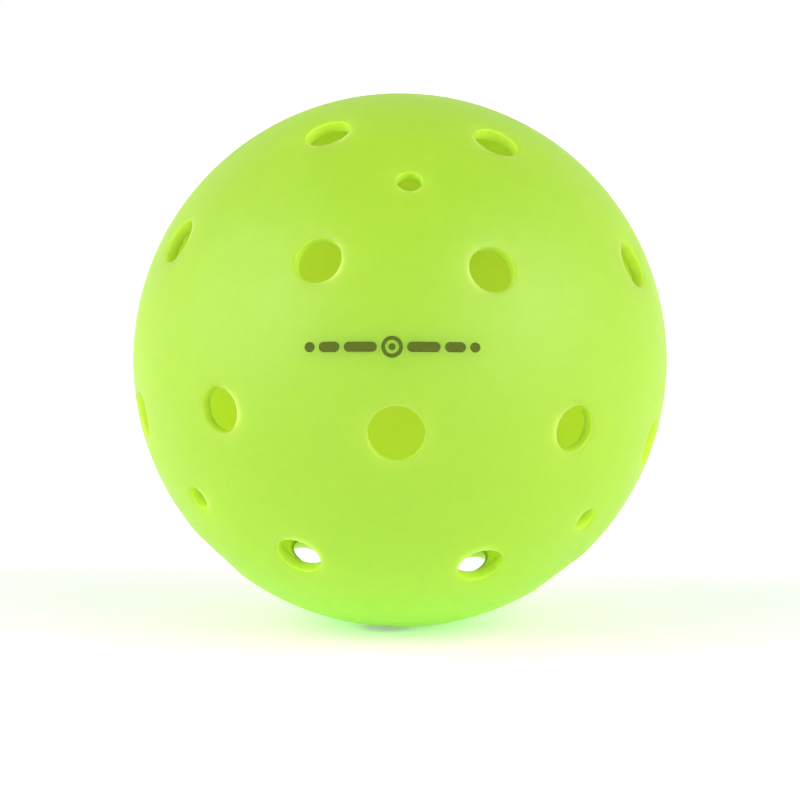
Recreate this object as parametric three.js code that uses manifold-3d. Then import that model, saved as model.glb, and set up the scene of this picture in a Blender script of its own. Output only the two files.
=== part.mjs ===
// A pickleball ball: one seamless hollow plastic shell with a drilled pattern of 38 holes,
// and a small printed mark made of eight separate islands of ink.
//
// Units are millimetres and +Z is up. The origin is the centre of the ball. The mark faces -Y.

import * as THREE from 'three';
import { mergeVertices } from 'three/addons/utils/BufferGeometryUtils.js';
import Module from 'manifold-3d';

const wasm = await Module();
wasm.setup();

// ---------------------------------------------------------------- driving dimensions

// The shell.
const ballDiameter = 74.0;
const wallThickness = 1.8;
const sphereDetail = 7; // each edge of the icosahedron is cut into this many pieces, plus one

// The three sizes of hole: two large, thirty medium and six small. The ease rounds an outer edge.
const largeHoleDiameter = 7.5;
const mediumHoleDiameter = 6.3;
const smallHoleDiameter = 3.5;
const edgeEase = 0.45;

// Four medium holes ring each small one, this many degrees from it as seen from the centre.
const mediumRingAngle = 25.8;

// Three more medium holes stand round each large one, this many degrees from it.
const mediumBeltAngle = 74.5;

// How the drilling jig held the ball relative to the print: three turns, in degrees.
const patternSpin = 40.7; // about the pattern's own Z
const patternLean = 45.0; // about X, which brings one small hole towards the print
const patternHeading = 4.4; // about Z

// The printed mark: a ring round a dot, with a row of bars on each side.
const markLatitude = 8.1; // degrees above the ball's equator
const ringDiameter = 2.8;
const ringStroke = 0.5;
const dotDiameter = 0.9;
const barHeight = 1.3;
const barGap = 0.55;
const barLengths = [4.3, 2.7, 1.3]; // from the ring outwards
const inkThickness = 0.1;
const inkClearance = 0.05; // between the ink's underside and the shell

// How finely round outlines are cut.
const largeHoleSides = 20;
const mediumHoleSides = 16;
const smallHoleSides = 12;
const inkRoundSides = 16; // of a round ink outline
const inkBarEndSides = 6; // of the half circle that ends an ink bar

// How far a cutting tool starts and ends beyond the surfaces that it cuts through.
const cutterOverrun = 2.0;

// Corners of a mesh that lie closer than this are one corner.
const mergeDistance = 1e-4;

// ---------------------------------------------------------------- derived sizes

const outerRadius = ballDiameter / 2;
const innerRadius = outerRadius - wallThickness;
const inkInnerRadius = outerRadius + inkClearance;
const inkOuterRadius = inkInnerRadius + inkThickness;

// ---------------------------------------------------------------- materials

const shellPlastic = new THREE.MeshStandardMaterial({
  name: 'lime_polyethylene',
  color: 0xb4e943,
  roughness: 0.5,
  metalness: 0.0,
});

const ink = new THREE.MeshStandardMaterial({
  name: 'dark_ink',
  color: 0x4a4f2a,
  roughness: 0.6,
  metalness: 0.0,
});

// ---------------------------------------------------------------- solids and meshes

// Turns a closed three.js geometry into a manifold solid.
function solidOf(geometry) {
  const bare = geometry.index ? geometry.toNonIndexed() : geometry.clone();
  bare.deleteAttribute('normal');
  bare.deleteAttribute('uv');
  const merged = mergeVertices(bare, mergeDistance);
  return new wasm.Manifold(new wasm.Mesh({
    numProp: 3,
    vertProperties: new Float32Array(merged.attributes.position.array),
    triVerts: new Uint32Array(merged.index.array),
  }));
}

// Turns a manifold solid back into a named three.js mesh.
function meshOf(name, solid, material) {
  const { vertProperties, triVerts } = solid.getMesh();
  const geometry = new THREE.BufferGeometry();
  geometry.setAttribute('position', new THREE.BufferAttribute(vertProperties, 3));
  geometry.setIndex(new THREE.BufferAttribute(triVerts, 1));
  geometry.computeVertexNormals();
  const mesh = new THREE.Mesh(geometry, material);
  mesh.name = name;
  return mesh;
}

// A ball of even triangles. Every radius uses the same directions, so the walls between two
// of these balls have the same thickness everywhere.
function ballSolid(radius) {
  return solidOf(new THREE.IcosahedronGeometry(radius, sphereDetail));
}

// ---------------------------------------------------------------- the hole pattern

// The six directions through the faces of a cube: the places of the small holes.
function faceDirections() {
  const x = new THREE.Vector3(1, 0, 0);
  const y = new THREE.Vector3(0, 1, 0);
  const z = new THREE.Vector3(0, 0, 1);
  return [x, y, z].flatMap((axis) => [axis, axis.clone().negate()]);
}

// The two ends of one long diagonal of the cube: the places of the large holes.
function poleDirections() {
  const pole = new THREE.Vector3(-1, -1, 1).normalize();
  return [pole, pole.clone().negate()];
}

// The cube's other corners: three round each pole, opposite the pole's own faces. The medium
// holes there lean a little away from the pole, towards the middle of the ball.
function beltDirections() {
  const lean = THREE.MathUtils.degToRad(mediumBeltAngle);
  return poleDirections().flatMap((pole) => faceDirections()
    .filter((face) => face.dot(pole) < 0)
    .map((face) => pole.clone()
      .multiplyScalar(Math.cos(lean))
      .addScaledVector(face.clone().projectOnPlane(pole).normalize(), Math.sin(lean))));
}

// Round each small hole, four steps towards the neighbouring faces: most of the medium holes.
function ringDirections() {
  const step = THREE.MathUtils.degToRad(mediumRingAngle);
  const faces = faceDirections();
  const isNeighbour = (face, other) => face.dot(other) === 0;
  return faces.flatMap((face) => faces
    .filter((other) => isNeighbour(face, other))
    .map((other) => face.clone()
      .multiplyScalar(Math.cos(step))
      .addScaledVector(other, Math.sin(step))));
}

// The turn from the pattern's own axes to the ball's axes.
function patternTurn() {
  const { degToRad } = THREE.MathUtils;
  const spin = new THREE.Matrix4().makeRotationZ(degToRad(patternSpin));
  const lean = new THREE.Matrix4().makeRotationX(degToRad(patternLean));
  const heading = new THREE.Matrix4().makeRotationZ(degToRad(patternHeading));
  return heading.multiply(lean).multiply(spin);
}

// A drill with its axis on the ball's radius. Above the hole's outer rim it widens into a cone
// that eases the sharp edge.
function holeCutter(diameter, sides, direction) {
  const radius = diameter / 2;
  const rimHeight = Math.sqrt(outerRadius ** 2 - radius ** 2);
  const profile = [
    new THREE.Vector2(0, innerRadius - cutterOverrun),
    new THREE.Vector2(radius, innerRadius - cutterOverrun),
    new THREE.Vector2(radius, rimHeight - edgeEase),
    new THREE.Vector2(radius + edgeEase + cutterOverrun, rimHeight + cutterOverrun),
    new THREE.Vector2(0, rimHeight + cutterOverrun),
  ];
  const drill = new THREE.LatheGeometry(profile, sides);
  const ownAxis = new THREE.Vector3(0, 1, 0);
  drill.applyQuaternion(new THREE.Quaternion().setFromUnitVectors(ownAxis, direction));
  return solidOf(drill);
}

function makeShell() {
  const turn = patternTurn();
  const mediumDirections = [...beltDirections(), ...ringDirections()];
  const holeKinds = [
    { directions: poleDirections(), diameter: largeHoleDiameter, sides: largeHoleSides },
    { directions: mediumDirections, diameter: mediumHoleDiameter, sides: mediumHoleSides },
    { directions: faceDirections(), diameter: smallHoleDiameter, sides: smallHoleSides },
  ];
  let shell = ballSolid(outerRadius).subtract(ballSolid(innerRadius));
  for (const { directions, diameter, sides } of holeKinds) {
    for (const direction of directions) {
      shell = shell.subtract(holeCutter(diameter, sides, direction.applyMatrix4(turn)));
    }
  }
  return meshOf('shell', shell, shellPlastic);
}

// ---------------------------------------------------------------- the printed mark

// An annulus, or a disc where the inner radius is zero, drawn about the mark's centre.
function roundOutline(radius, innerRadiusOfRing) {
  const outline = new THREE.Shape();
  outline.absarc(0, 0, radius, 0, 2 * Math.PI, false);
  if (innerRadiusOfRing > 0) {
    const hole = new THREE.Path();
    hole.absarc(0, 0, innerRadiusOfRing, 0, 2 * Math.PI, true);
    outline.holes.push(hole);
  }
  return outline;
}

// A bar with round ends, from x = start to x = end.
function barOutline(start, end) {
  const radius = barHeight / 2;
  const outline = new THREE.Shape();
  outline.absarc(end - radius, 0, radius, -Math.PI / 2, Math.PI / 2, false);
  outline.absarc(start + radius, 0, radius, Math.PI / 2, 1.5 * Math.PI, false);
  outline.closePath();
  return outline;
}

// The ink lies on the shell like a skin. The print pad comes straight on along the mark's own
// axis, so each island is the skin inside a straight prism of its outline.
function inkIsland(name, outline, arcSides, skin) {
  const prism = new THREE.ExtrudeGeometry(outline, {
    depth: inkOuterRadius + cutterOverrun,
    bevelEnabled: false,
    curveSegments: arcSides / 2, // an arc takes two sides for each curve segment
  });
  prism.rotateX(Math.PI / 2 - THREE.MathUtils.degToRad(markLatitude));
  return meshOf(name, skin.intersect(solidOf(prism)), ink);
}

function makeMark() {
  const skin = ballSolid(inkOuterRadius).subtract(ballSolid(inkInnerRadius));
  const ringRadius = ringDiameter / 2;
  const ring = roundOutline(ringRadius, ringRadius - ringStroke);
  const dot = roundOutline(dotDiameter / 2, 0);
  const mark = new THREE.Group();
  mark.add(inkIsland('mark_ring', ring, inkRoundSides, skin));
  mark.add(inkIsland('mark_dot', dot, inkRoundSides, skin));
  let start = ringRadius + barGap;
  barLengths.forEach((length, index) => {
    const end = start + length;
    const right = barOutline(start, end);
    const left = barOutline(-end, -start);
    mark.add(inkIsland(`mark_bar_right_${index + 1}`, right, inkBarEndSides, skin));
    mark.add(inkIsland(`mark_bar_left_${index + 1}`, left, inkBarEndSides, skin));
    start = end + barGap;
  });
  return mark;
}

// ---------------------------------------------------------------- the ball

const ball = new THREE.Group();
ball.add(makeShell());
ball.add(makeMark());

export default ball;
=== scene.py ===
# %% [markdown]
# # A pickleball ball
# The real ball is one hollow shell of lime-green polyethylene, tumbled round in a heated mould
# so that it has no seam, then drilled with 38 holes and printed with a small mark. The scene
# keeps that order: the shell is worked out with its holes in it, the mark is laid on top as a
# film of ink, and then each gets its finish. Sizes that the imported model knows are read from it.
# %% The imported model
import math

import bmesh
import bpy
import numpy as np
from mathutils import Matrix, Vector


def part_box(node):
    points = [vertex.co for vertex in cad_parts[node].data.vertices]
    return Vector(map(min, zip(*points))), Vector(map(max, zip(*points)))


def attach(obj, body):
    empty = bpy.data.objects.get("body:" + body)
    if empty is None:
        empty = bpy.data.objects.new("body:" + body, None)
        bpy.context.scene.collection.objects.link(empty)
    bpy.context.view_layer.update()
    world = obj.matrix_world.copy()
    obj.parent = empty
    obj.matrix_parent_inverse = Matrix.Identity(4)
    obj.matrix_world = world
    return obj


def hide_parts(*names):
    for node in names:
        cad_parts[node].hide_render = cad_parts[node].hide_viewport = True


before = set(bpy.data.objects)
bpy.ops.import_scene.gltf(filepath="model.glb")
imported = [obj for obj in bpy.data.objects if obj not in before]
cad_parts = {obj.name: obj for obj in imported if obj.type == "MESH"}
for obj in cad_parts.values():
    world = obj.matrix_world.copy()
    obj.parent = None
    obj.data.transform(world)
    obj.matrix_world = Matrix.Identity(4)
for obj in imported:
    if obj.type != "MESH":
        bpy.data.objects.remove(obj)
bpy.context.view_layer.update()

MM = 0.001
shell_low, shell_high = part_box("shell")
ball_centre = (shell_low + shell_high) / 2
ball_radius = (shell_high.x - shell_low.x) / 2
print(f"the ball is {2 * ball_radius / MM:.1f} mm across")

# %% [markdown]
# ## The camera
# A long lens far from the ball keeps its outline close to a true circle. The lens stands a
# little above the middle of the ball and a little to its right, and looks slightly below the
# ball so that it sits above the middle of the frame, as a product shot often has it.
# %% Camera
CAMERA_AZIMUTH = math.radians(1.6)
CAMERA_ELEVATION = math.radians(5.4)
CAMERA_DISTANCE = 13.27 * ball_radius
SENSOR_WIDTH = 36.0
LENS_LENGTH = 158.9
LOOK_BELOW = math.radians(0.645)
CLIP_END = 1000 * ball_radius


def direction(azimuth, elevation):
    """The unit vector from the ball to a place seen at that azimuth and elevation."""
    flat = math.cos(elevation)
    return Vector((math.sin(azimuth) * flat, -math.cos(azimuth) * flat, math.sin(elevation)))


def make_camera():
    camera = bpy.data.objects.new("camera", bpy.data.cameras.new("camera"))
    camera.data.sensor_width = SENSOR_WIDTH
    camera.data.lens = LENS_LENGTH
    camera.data.clip_start = ball_radius
    camera.data.clip_end = CLIP_END
    to_camera = direction(CAMERA_AZIMUTH, CAMERA_ELEVATION)
    camera.location = ball_centre + to_camera * CAMERA_DISTANCE
    aim = direction(CAMERA_AZIMUTH, CAMERA_ELEVATION + LOOK_BELOW)
    camera.rotation_euler = (-aim).to_track_quat("-Z", "Y").to_euler()
    bpy.context.scene.collection.objects.link(camera)
    bpy.context.scene.camera = camera


make_camera()
print(f"the camera stands {CAMERA_DISTANCE:.3f} m from the ball")

# %% [markdown]
# ## Where the holes are
# The drilling pattern grows out of a cube. A small hole stands over each face and four medium
# holes ring it. One long diagonal of the cube is the pole that the jig holds, with a large hole
# at each end, and the six corners that are left carry medium holes that lean a little away from
# the pole. Two angles are free, so they have names. Three turns then say how the ball lay in
# the jig when its print was already facing forward.
# %% Hole directions
WALL = 1.8 * MM
LARGE_HOLE = 7.5 * MM
MEDIUM_HOLE = 6.3 * MM
SMALL_HOLE = 3.5 * MM
RING_ANGLE = math.radians(25.8)
BELT_ANGLE = math.radians(74.5)
PATTERN_SPIN = math.radians(40.7)
PATTERN_LEAN = math.radians(45.0)
PATTERN_HEADING = math.radians(4.4)


def turn_about(axis, angle):
    """The 3 by 3 matrix that turns a point about X (axis 0), Y (1) or Z (2)."""
    turn = np.eye(3)
    first, second = (axis + 1) % 3, (axis + 2) % 3
    turn[first, first] = turn[second, second] = math.cos(angle)
    turn[first, second] = -math.sin(angle)
    turn[second, first] = math.sin(angle)
    return turn


def lean(start, towards, angle):
    """The unit vector at that angle from start, on the side of towards."""
    away = towards - (towards @ start) * start
    return start * math.cos(angle) + away / np.linalg.norm(away) * math.sin(angle)


def hole_pattern():
    """Every hole as a unit direction from the ball's centre, with the hole's radius."""
    faces = np.vstack([np.eye(3), -np.eye(3)])
    pole = np.array([-1, -1, 1]) / math.sqrt(3)
    rings = [lean(f, g, RING_ANGLE) for f in faces for g in faces if f @ g == 0]
    belts = [lean(p, f, BELT_ANGLE) for p in (pole, -pole) for f in faces if f @ p < 0]
    in_jig = np.vstack([faces, pole, -pole, rings, belts])
    radii = [SMALL_HOLE / 2] * len(faces) + [LARGE_HOLE / 2] * 2
    radii += [MEDIUM_HOLE / 2] * (len(rings) + len(belts))
    turn = turn_about(2, PATTERN_HEADING) @ turn_about(0, PATTERN_LEAN) @ turn_about(2, PATTERN_SPIN)
    return in_jig @ turn.T, radii


hole_directions, hole_radii = hole_pattern()
print(f"{len(hole_directions)} holes")

# %% [markdown]
# ## A patch of shell for each hole
# A boolean cut would leave long thin triangles round every hole, and they show as dents in a
# glossy skin. Instead the sphere is shared out between the holes: each hole owns the part of
# the shell that is nearest to it, a six- or four-sided patch. The patch's corners are the
# outward normals of the convex hull's triangles, which is how a Voronoi diagram comes out on a
# sphere.
# %% Patch borders
BORDER_STEPS = 14


def tangents(axis):
    """Two unit vectors at right angles to the axis and to each other, right-handed with it."""
    helper = np.eye(3)[np.argmin(np.abs(axis))]
    across = np.cross(helper, axis)
    across /= np.linalg.norm(across)
    return across, np.cross(axis, across)


def patch_corners(sites):
    """For each site, the corners of its patch as unit vectors, in order round the site."""
    hull = bmesh.new()
    verts = [hull.verts.new(site) for site in sites]
    bmesh.ops.convex_hull(hull, input=verts)
    hull.normal_update()
    patches = []
    for vert, site in zip(verts, sites):
        across, along = tangents(site)
        normals = [np.array(face.normal) for face in vert.link_faces]
        normals.sort(key=lambda n: math.atan2(n @ along, n @ across))
        patches.append(normals)
    hull.free()
    return patches


def border_points(corners):
    """Points along the great circles that join one corner to the next, right round the patch."""
    points = []
    for start, end in zip(corners, corners[1:] + corners[:1]):
        whole = math.acos(np.clip(start @ end, -1, 1))
        for step in range(BORDER_STEPS):
            part = whole * step / BORDER_STEPS
            points.append((start * math.sin(whole - part) + end * math.sin(part)) / math.sin(whole))
    return np.array(points)


patches = patch_corners(hole_directions)
print(f"patches have {sorted(set(len(p) for p in patches))} sides")

# %% [markdown]
# ## The edge of a hole
# A drilled edge in soft plastic is never sharp: the burr is flamed or tumbled off and the skin
# rolls gently over into the bore. That is drawn as a quarter of an ellipse, wide along the
# surface and shallow down the bore, because it has to start without a crease on the sphere and
# end without a crease on the wall of the hole. A smaller one rounds the inside edge.
# %% Section through a hole
OUTER_ROLL_WIDTH = 1.4 * MM
OUTER_ROLL_DEPTH = 0.24 * MM
INNER_ROLL_WIDTH = 0.10 * MM
INNER_ROLL_DEPTH = 0.06 * MM
ROLL_STEPS = 9
BORE_STEPS = 5
INNER_ROLL_STEPS = 5
OUTER_RINGS = 12
INNER_RINGS = 6
RING_CROWDING = 1.5
inner_radius = ball_radius - WALL


def hole_section(radius):
    """The rolled edges and the bore, as (distance from the hole's axis, height) from the outside in."""
    outer, inner = [], []
    for step in range(ROLL_STEPS + 1):
        turn = math.pi / 2 * step / ROLL_STEPS
        reach = radius + OUTER_ROLL_WIDTH * (1 - math.sin(turn))
        drop = OUTER_ROLL_DEPTH * (1 - math.cos(turn))
        outer.append((reach, math.sqrt(ball_radius**2 - reach**2) - drop))
    for step in range(INNER_ROLL_STEPS + 1):
        turn = math.pi / 2 * (1 - step / INNER_ROLL_STEPS)
        reach = radius + INNER_ROLL_WIDTH * (1 - math.sin(turn))
        rise = INNER_ROLL_DEPTH * (1 - math.cos(turn))
        inner.append((reach, math.sqrt(inner_radius**2 - reach**2) + rise))
    top, bottom = outer[-1][1], inner[0][1]
    bore = [(radius, top + (bottom - top) * step / BORE_STEPS) for step in range(1, BORE_STEPS)]
    return outer, bore, inner


def spread(count):
    """Shares from 0 to just under 1 that crowd towards 1, where the hole is."""
    return [1 - (1 - step / count) ** RING_CROWDING for step in range(count)]


def patch_rings(site, corners, radius):
    """Closed rings of points from the patch's border on the outside, through the hole, to the inside."""
    across, along = tangents(site)
    border = border_points(corners)
    bearing = np.arctan2(border @ along, border @ across)
    around = np.outer(np.cos(bearing), across) + np.outer(np.sin(bearing), along)
    far = np.arccos(np.clip(border @ site, -1, 1))
    outer, bore, inner = hole_section(radius)
    near_outer = math.atan2(*outer[0])
    near_inner = math.atan2(*inner[-1])

    def on_sphere(angle, size):
        return size * (np.outer(np.cos(angle), site) + np.sin(angle)[:, None] * around)

    rings = [on_sphere(far + (near_outer - far) * s, ball_radius) for s in spread(OUTER_RINGS)]
    rings += [reach * around + height * site for reach, height in outer + bore + inner]
    back = [on_sphere(far + (near_inner - far) * s, inner_radius) for s in spread(INNER_RINGS)]
    rings += back[::-1]
    return rings


print(f"the rolled outer edge is drawn with {len(hole_section(MEDIUM_HOLE / 2)[0])} points")

# %% [markdown]
# ## The shell
# The patches are stitched into one skin of four-sided faces. Neighbouring patches share their
# border points on both surfaces, so merging them closes the shell. Two numbers are kept on the
# points for the finish: the height of a point along the hole's axis, and how much painted glow
# the hole's wall gets there. That is painted light: a paler lime that stands for light shining
# through the wall, growing towards the inner edge, where the bore lies deepest in shade.
# %% Build the shell
MERGE_DISTANCE = 0.002 * MM
# Painted light: the hole walls are painted paler, from the first share at the top of the bore to full at
# the inner edge, standing for light shining through the wall and lifting the shade deep in the bore.
RIM_WHITENING = 0.45
WHITENING_PACE = 1.5


def make_shell():
    bm = bmesh.new()
    cut_layer = bm.verts.layers.float.new("drilled")
    depth_layer = bm.verts.layers.float.new("bore_depth")
    first_cut = OUTER_RINGS + ROLL_STEPS
    cut_rings = BORE_STEPS + INNER_ROLL_STEPS
    for site, corners, radius in zip(hole_directions, patches, hole_radii):
        rings = []
        for index, ring in enumerate(patch_rings(site, corners, radius)):
            verts = [bm.verts.new(point) for point in ring]
            depth = (index - first_cut) / cut_rings
            # painted glow: how much paler the wall is painted here, rising with depth into the hole
            whitening = RIM_WHITENING + (1 - RIM_WHITENING) * min(1.0, WHITENING_PACE * depth)
            for vert in verts:
                vert[cut_layer] = whitening if 0 <= depth <= 1 else 0.0
                vert[depth_layer] = float(np.array(vert.co) @ site)
            rings.append(verts)
        for ring, following in zip(rings, rings[1:]):
            for i, vert in enumerate(ring):
                j = (i + 1) % len(ring)
                bm.faces.new((vert, ring[j], following[j], following[i]))
    bmesh.ops.remove_doubles(bm, verts=bm.verts, dist=MERGE_DISTANCE)
    bmesh.ops.recalc_face_normals(bm, faces=bm.faces)
    for face in bm.faces:
        face.smooth = True
    mesh = bpy.data.meshes.new("ball_shell")
    bm.to_mesh(mesh)
    open_edges = sum(1 for edge in bm.edges if len(edge.link_faces) != 2)
    print(f"shell: {len(bm.faces)} faces, {open_edges} open edges, {bm.calc_volume() / MM**3:.0f} mm3")
    bm.free()
    shell = bpy.data.objects.new("ball_shell", mesh)
    bpy.context.scene.collection.objects.link(shell)
    return shell


shell = make_shell()
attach(shell, "root")
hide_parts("shell")

# %% [markdown]
# ## The printed mark
# Pad printing presses a soft pad straight on to the ball, so the drawing keeps its width and
# height as seen from in front and wraps over the curve. Each island of ink is a thin film that
# follows the sphere, with a top that thins towards its edge. The places and lengths come from
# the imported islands.
# %% Mark frame
INK_LIFT = 0.006 * MM
INK_THICKNESS = 0.03 * MM
INK_EDGE = 0.12 * MM
INK_RIM_SHARE = 0.15  # how much of its thickness the film has at its very edge
INK_WOBBLE = 0.018 * MM
BAR_COLUMNS = 48
BAND_ROWS = 9
RING_COLUMNS = 72

ring_low, ring_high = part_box("mark_ring")
dot_low, dot_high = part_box("mark_dot")
mark_middle = (ring_low + ring_high) / 2
mark_latitude = math.atan2(mark_middle.z, -mark_middle.y)
ring_radius = (ring_high.x - ring_low.x) / 2
dot_radius = (dot_high.x - dot_low.x) / 2
RING_STROKE = 0.5 * MM
BAR_HEIGHT = 1.3 * MM
WAVE_ALONG, WAVE_ACROSS, WAVE_SLANTED = 9100, 14300, 23700  # radians per metre
SHIFT_ALONG, SHIFT_ACROSS, SHIFT_SLANTED = 3.1, 1.7, 5.3  # radians per seed
print(f"the mark sits {math.degrees(mark_latitude):.1f} degrees above the equator")


def on_ball(x, y, lift):
    """A point of the mark's flat drawing, pressed straight on to the ball, raised by lift."""
    radius = ball_radius + lift
    forward = math.sqrt(radius**2 - x * x - y * y)
    up, out = math.cos(mark_latitude), math.sin(mark_latitude)
    return Vector((x, -forward * up + y * out, forward * out + y * up))


def ragged(x, y, seed):
    """A small uneven shift of the ink's edge, the same every time for the same place."""
    waves = math.sin(WAVE_ALONG * x + SHIFT_ALONG * seed)
    waves += math.sin(WAVE_ACROSS * y + SHIFT_ACROSS * seed)
    waves += math.sin(WAVE_SLANTED * (x + y) + SHIFT_SLANTED * seed)
    return INK_WOBBLE * waves / 3


# %% [markdown]
# An island is a sheet of small faces with a top and an underside. The helper takes a grid of
# drawing points, gives the top its thickness, thins it near the outline, and closes the rim.
# A bar's ends keep a least height, because the rows lie so close there that the uneven edge can
# put them out of order. In three bars it still does, in the last 0.002 mm.
# %% Ink islands
INK_MERGE_DISTANCE = 0.0005 * MM
BAR_TIP_SHARE = 0.02  # the least height of a bar's end, as a share of the bar's height
DOT_PINHOLE = 0.02 * MM  # the dot is a band too, and this is its inside radius


def film_lift(distance):
    """How high the top of the ink lies above the ball, at that distance from the ink's edge."""
    share = INK_RIM_SHARE + (1 - INK_RIM_SHARE) * min(1.0, distance / INK_EDGE)
    return INK_LIFT + INK_THICKNESS * share


def ink_film(name, grid, edge_distance, closed):
    """Makes a closed film from rows of drawing points. closed joins the last column to the first."""
    bm = bmesh.new()
    top, under = [], []
    for row, distances in zip(grid, edge_distance):
        top.append([bm.verts.new(on_ball(x, y, film_lift(d))) for (x, y), d in zip(row, distances)])
        under.append([bm.verts.new(on_ball(x, y, INK_LIFT)) for x, y in row])
    columns = len(grid[0])
    steps = range(columns if closed else columns - 1)
    for a, b in zip(range(len(grid)), range(1, len(grid))):
        for i in steps:
            j = (i + 1) % columns
            bm.faces.new((top[a][i], top[a][j], top[b][j], top[b][i]))
            bm.faces.new((under[a][i], under[b][i], under[b][j], under[a][j]))
    for row in (0, len(grid) - 1):
        for i in steps:
            j = (i + 1) % columns
            bm.faces.new((top[row][i], under[row][i], under[row][j], top[row][j]))
    if not closed:
        for i in (0, columns - 1):
            for a, b in zip(range(len(grid)), range(1, len(grid))):
                bm.faces.new((top[a][i], top[b][i], under[b][i], under[a][i]))
    bmesh.ops.remove_doubles(bm, verts=bm.verts, dist=INK_MERGE_DISTANCE)
    bmesh.ops.recalc_face_normals(bm, faces=bm.faces)
    for face in bm.faces:
        face.smooth = True
    mesh = bpy.data.meshes.new(name)
    bm.to_mesh(mesh)
    bm.free()
    film = bpy.data.objects.new(name, mesh)
    bpy.context.scene.collection.objects.link(film)
    return film


def band_film(name, inner, outer, seed):
    """A round band of ink between two radii."""
    grid, distances = [], []
    for row in range(BAND_ROWS):
        share = row / (BAND_ROWS - 1)
        radius = inner + (outer - inner) * share
        line = []
        for column in range(RING_COLUMNS):
            angle = 2 * math.pi * column / RING_COLUMNS
            x, y = radius * math.cos(angle), radius * math.sin(angle)
            push = ragged(x, y, seed) * (2 * share - 1)
            line.append(((radius + push) * math.cos(angle), (radius + push) * math.sin(angle)))
        grid.append(line)
        from_edge = outer - radius if inner < INK_EDGE else min(outer - radius, radius - inner)
        distances.append([from_edge] * RING_COLUMNS)
    return ink_film(name, grid, distances, closed=True)


def bar_film(name, start, end, seed):
    """A bar of ink with round ends, from x = start to x = end."""
    half = BAR_HEIGHT / 2
    tip = BAR_TIP_SHARE * half
    grid, distances = [], []
    for row in range(BAND_ROWS):
        share = 2 * row / (BAND_ROWS - 1) - 1
        line, edges = [], []
        for column in range(BAR_COLUMNS + 1):
            turn = math.pi * column / BAR_COLUMNS
            x = (start + end) / 2 - (end - start) / 2 * math.cos(turn)
            into_end = max(0.0, start + half - x, x - end + half)
            tall = math.sqrt(max(half**2 - into_end**2, tip**2))
            y = share * max(tip, tall + ragged(x, share * half, seed))
            line.append((x, y))
            edges.append(min(tall * (1 - abs(share)), x - start, end - x))
        grid.append(line)
        distances.append(edges)
    return ink_film(name, grid, distances, closed=False)


ink_films = [
    band_film("ink_ring", ring_radius - RING_STROKE, ring_radius, seed=1),
    band_film("ink_dot", DOT_PINHOLE, dot_radius, seed=2),
]
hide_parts("mark_ring")
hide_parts("mark_dot")
for side in ("left", "right"):
    for number in (1, 2, 3):
        node = f"mark_bar_{side}_{number}"
        low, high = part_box(node)
        bar = bar_film(f"ink_bar_{side}_{number}", low.x, high.x, seed=number + len(side))
        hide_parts(node)
        ink_films.append(bar)
for film in ink_films:
    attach(film, "root")
print(f"{len(ink_films)} islands of ink")

# %% [markdown]
# ## Finishes
# A material is a small graph of nodes. The first helpers here make the graph and add a node to
# it, setting its plain inputs and linking the rest. The others make the kinds of node that come
# up most, so that each finish below reads as a list of what it is made of.
# %% Node helpers
def new_material(name):
    material = bpy.data.materials.new(name)
    material.use_nodes = True
    tree = material.node_tree
    tree.nodes.clear()
    output = tree.nodes.new("ShaderNodeOutputMaterial")
    shader = tree.nodes.new("ShaderNodeBsdfPrincipled")
    tree.links.new(shader.outputs["BSDF"], output.inputs["Surface"])
    return material, tree, shader


def add(tree, kind, settings=None, **inputs):
    """Adds a node. settings are its own options; inputs are values or sockets to link."""
    node = tree.nodes.new(kind)
    for key, value in (settings or {}).items():
        setattr(node, key, value)
    for key, value in inputs.items():
        by_number = key[0] == "_" and key[1:].isdigit()
        socket = node.inputs[int(key[1:]) if by_number else key]
        if isinstance(value, bpy.types.NodeSocket):
            tree.links.new(value, socket)
        else:
            socket.default_value = value
    return node


def noise(tree, place, scale, detail):
    return add(tree, "ShaderNodeTexNoise", Vector=place, Scale=scale, Detail=detail).outputs["Fac"]


def calculate(tree, operation, *values):
    numbered = {f"_{index}": value for index, value in enumerate(values)}
    return add(tree, "ShaderNodeMath", {"operation": operation}, **numbered).outputs[0]


def remap(tree, value, source=(0.0, 1.0), target=(0.0, 1.0)):
    """Stretches the range source on to the range target, and holds values beyond its ends."""
    ends = {"_1": source[0], "_2": source[1], "_3": target[0], "_4": target[1]}
    return add(tree, "ShaderNodeMapRange", Value=value, **ends).outputs[0]


def blend(tree, share, first, second):
    """The colour between first and second, nearer to second as share grows."""
    return add(tree, "ShaderNodeMix", {"data_type": "RGBA"}, _0=share, _6=first, _7=second).outputs[2]


def bump(tree, height, distance, **below):
    return add(tree, "ShaderNodeBump", Height=height, Distance=distance, **below).outputs["Normal"]


# %% [markdown]
# ### The lime plastic
# Polyethylene is waxy and lets light some way in, which is why the ball seems to glow and the
# inside is nearly as bright as the outside. Subsurface scattering does that on a wall with real
# thickness. The pigment is never mixed quite evenly, so the colour drifts a little from place
# to place, over a few centimetres and again over a few millimetres.
# %% Plastic colour
LIME = (0.362, 0.778, 0.023, 1.0)
LIME_RICH = (0.344, 0.762, 0.020, 1.0)
# The next two colours are painted light: paler limes on the hole walls that stand for light shining
# through the wall; the second, at the inner edge, also lifts the shade deep in the bore.
CUT_LIME = (0.53, 0.98, 0.045, 1.0)
WHITENED_LIME = (0.78, 1.0, 0.075, 1.0)
CLOUD_SCALE = 45.0
FLECK_SCALE = 420.0
DRIFT_RANGE = (0.12, 0.40)  # of the two noises' product, from all lime to all rich lime


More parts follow.
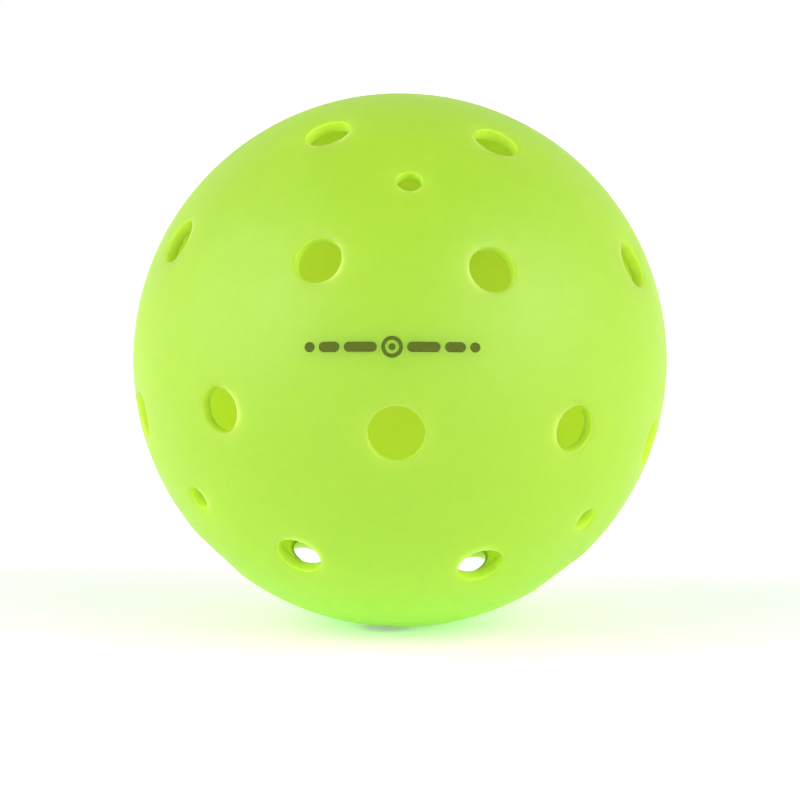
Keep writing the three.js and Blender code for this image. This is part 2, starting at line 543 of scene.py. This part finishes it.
def plastic_colour(tree, place, drilled):
    """The drifting lime, and the hole walls painted a paler lime, palest at the inner edge: painted
    light that stands for light shining through the wall and lifts the shade deep in the bore.
    """
    cloud = noise(tree, place, CLOUD_SCALE, 3.0)
    fleck = noise(tree, place, FLECK_SCALE, 2.0)
    both = calculate(tree, "MULTIPLY", cloud, fleck)
    drift = remap(tree, both, source=DRIFT_RANGE)
    skin = blend(tree, drift, LIME, LIME_RICH)
    # painted light: the hole walls turn to the paler limes, palest at the inner edge
    is_cut = remap(tree, drilled, source=(0.0, RIM_WHITENING))
    cut = blend(tree, is_cut, skin, CUT_LIME)
    whitening = remap(tree, drilled, source=(RIM_WHITENING, 1.0))
    return blend(tree, whitening, cut, WHITENED_LIME)


# %% [markdown]
# The gloss isn't even either. A tumbled mould leaves a faint orange peel, the powder that it was
# filled with leaves a finer grain, and handling dulls the skin in soft patches. Each drill turned
# in the wall leaves fine rings, which follow the height that was kept on the points.
# %% Plastic surface
PEEL_SCALE = 700.0
GRAIN_SCALE = 3200.0
PEEL_HEIGHT = 0.010 * MM
GRAIN_HEIGHT = 0.003 * MM
DRILL_RING_PITCH = 0.22 * MM
DRILL_RING_HEIGHT = 0.006 * MM
WEAR_SCALE = 110.0
WEAR_RANGE = (0.3, 0.7)
ROUGHNESS_RANGE = (0.42, 0.56)


def handled_roughness(tree, place):
    wear = noise(tree, place, WEAR_SCALE, 5.0)
    return remap(tree, wear, source=WEAR_RANGE, target=ROUGHNESS_RANGE)


def surface_bump(tree, place, drilled):
    peel = noise(tree, place, PEEL_SCALE, 2.0)
    peeled = bump(tree, peel, PEEL_HEIGHT)
    grain = noise(tree, place, GRAIN_SCALE, 2.0)
    grained = bump(tree, grain, GRAIN_HEIGHT, Normal=peeled)
    height = add(tree, "ShaderNodeAttribute", {"attribute_name": "bore_depth"}).outputs["Fac"]
    turns = calculate(tree, "MULTIPLY", height, 2 * math.pi / DRILL_RING_PITCH)
    wave = calculate(tree, "SINE", turns)
    rings = calculate(tree, "MULTIPLY", wave, drilled)
    return bump(tree, rings, DRILL_RING_HEIGHT, Normal=grained)


print(f"peel {PEEL_HEIGHT / MM:.3f} mm high, grain {GRAIN_HEIGHT / MM:.3f} mm")

# %% [markdown]
# Put together, the skin scatters light under its surface. The walls of the holes are treated
# differently: they are painted a paler lime, painted light that stands for light shining through
# the wall and lifts the shade deep in the bore, and the scattering fades out as that painted glow
# grows. With it left on, a dark line shows at the inner edge of a hole, whatever the colour of the wall.
# %% Shell plastic
SCATTER_RADIUS = (1.0, 1.06, 0.50)  # red, green and blue, as shares of the distance below
SCATTER_DISTANCE = 15 * MM
PLASTIC_SPECULAR = 0.5
PLASTIC_IOR = 1.5


def shell_plastic():
    material, tree, shader = new_material("lime_polyethylene")
    place = add(tree, "ShaderNodeTexCoord").outputs["Object"]
    drilled = add(tree, "ShaderNodeAttribute", {"attribute_name": "drilled"}).outputs["Fac"]
    tree.links.new(plastic_colour(tree, place, drilled), shader.inputs["Base Color"])
    tree.links.new(handled_roughness(tree, place), shader.inputs["Roughness"])
    tree.links.new(surface_bump(tree, place, drilled), shader.inputs["Normal"])
    waxy = remap(tree, drilled, target=(1.0, 0.0))
    tree.links.new(waxy, shader.inputs["Subsurface Weight"])
    shader.inputs["Subsurface Radius"].default_value = SCATTER_RADIUS
    shader.inputs["Subsurface Scale"].default_value = SCATTER_DISTANCE
    shader.inputs["Specular IOR Level"].default_value = PLASTIC_SPECULAR
    shader.inputs["IOR"].default_value = PLASTIC_IOR
    return material


plastic = shell_plastic()
shell.data.materials.append(plastic)
print(f"{plastic.name} is made of {len(plastic.node_tree.nodes)} nodes")

# %% [markdown]
# ### The ink
# Pad-printing ink dries flat and slightly uneven: thin enough in places for the lime to warm
# it, so the colour wanders between a dark olive and a slightly lighter one.
# %% Mark ink
INK_DARK = (0.055, 0.080, 0.004, 1.0)
INK_THIN = (0.100, 0.145, 0.008, 1.0)
INK_MOTTLE_SCALE = 2600.0
INK_ROUGHNESS = 0.7
INK_SPECULAR = 0.2


def mark_ink():
    material, tree, shader = new_material("olive_ink")
    place = add(tree, "ShaderNodeTexCoord").outputs["Object"]
    cover = noise(tree, place, INK_MOTTLE_SCALE, 4.0)
    tint = blend(tree, cover, INK_DARK, INK_THIN)
    tree.links.new(tint, shader.inputs["Base Color"])
    shader.inputs["Roughness"].default_value = INK_ROUGHNESS
    shader.inputs["Specular IOR Level"].default_value = INK_SPECULAR
    return material


ink_material = mark_ink()
for film in ink_films:
    film.data.materials.append(ink_material)
print(f"{ink_material.name} is made of {len(ink_material.node_tree.nodes)} nodes")

# %% [markdown]
# ## The studio
# The ball stands on a plain white table under soft light. The whole room is a pale glow, and a
# wide soft box on each side gives the two broad sheens. The table glows a little too, which
# keeps it white and lights the ball from below.
# %% Floor
FLOOR_RADIUS = 6.0
FLOOR_SIDES = 96
TABLE_COLOUR = (0.92, 0.92, 0.92, 1.0)
TABLE_ROUGHNESS = 0.8
TABLE_SPECULAR = 0.2
TABLE_GLOW = 0.22
WHITE = (1.0, 1.0, 1.0, 1.0)


def make_floor():
    bm = bmesh.new()
    bmesh.ops.create_circle(bm, cap_ends=True, segments=FLOOR_SIDES, radius=FLOOR_RADIUS)
    mesh = bpy.data.meshes.new("floor")
    bm.to_mesh(mesh)
    bm.free()
    floor = bpy.data.objects.new("floor", mesh)
    floor.location.z = shell_low.z
    bpy.context.scene.collection.objects.link(floor)
    material, tree, shader = new_material("white_table")
    shader.inputs["Base Color"].default_value = TABLE_COLOUR
    shader.inputs["Roughness"].default_value = TABLE_ROUGHNESS
    shader.inputs["Specular IOR Level"].default_value = TABLE_SPECULAR
    shader.inputs["Emission Color"].default_value = WHITE
    shader.inputs["Emission Strength"].default_value = TABLE_GLOW
    floor.data.materials.append(material)
    return floor


make_floor()
print(f"the table lies at z = {shell_low.z / MM:.1f} mm")

# %% [markdown]
# The room is brightest near the horizon and fades towards the ceiling, as a white studio with its
# lamps low down does, so the top of the ball keeps its colour. The two soft boxes are suns as wide
# as a wall: a sun lights the whole table evenly, however far it stretches, and its width makes
# the sheen broad and soft.
# %% Lights
HORIZON_GLOW = 1.0
CEILING_GLOW = 0.30
SOFT_BOX_WIDTH = math.radians(60)
SOFT_BOX_STRENGTH = 2.2
SOFT_BOX_ELEVATION = 22
LEFT_BOX_AZIMUTH = -69
RIGHT_BOX_AZIMUTH = 61
DIFFUSE_BOUNCES = 12  # light goes back and forth many times inside the hollow ball
MOST_BOUNCES = 16


def make_room():
    world = bpy.data.worlds.new("studio")
    world.use_nodes = True
    glow = world.node_tree.nodes["Background"]
    glow.inputs["Color"].default_value = WHITE
    toward = add(world.node_tree, "ShaderNodeTexCoord").outputs["Generated"]
    height = add(world.node_tree, "ShaderNodeSeparateXYZ", Vector=toward).outputs["Z"]
    fade = remap(world.node_tree, height, target=(HORIZON_GLOW, CEILING_GLOW))
    world.node_tree.links.new(fade, glow.inputs["Strength"])
    bpy.context.scene.world = world


def make_soft_box(name, azimuth):
    light = bpy.data.lights.new(name, "SUN")
    light.angle = SOFT_BOX_WIDTH
    light.energy = SOFT_BOX_STRENGTH
    toward = direction(math.radians(azimuth), math.radians(SOFT_BOX_ELEVATION))
    box = bpy.data.objects.new(name, light)
    box.rotation_euler = (-toward).to_track_quat("-Z", "Y").to_euler()
    bpy.context.scene.collection.objects.link(box)


make_room()
make_soft_box("soft_box_left", LEFT_BOX_AZIMUTH)
make_soft_box("soft_box_right", RIGHT_BOX_AZIMUTH)
bpy.context.scene.view_settings.view_transform = "Standard"
bpy.context.scene.cycles.diffuse_bounces = DIFFUSE_BOUNCES
bpy.context.scene.cycles.max_bounces = MOST_BOUNCES
print(f"two soft boxes, {math.degrees(SOFT_BOX_WIDTH):.0f} degrees wide")
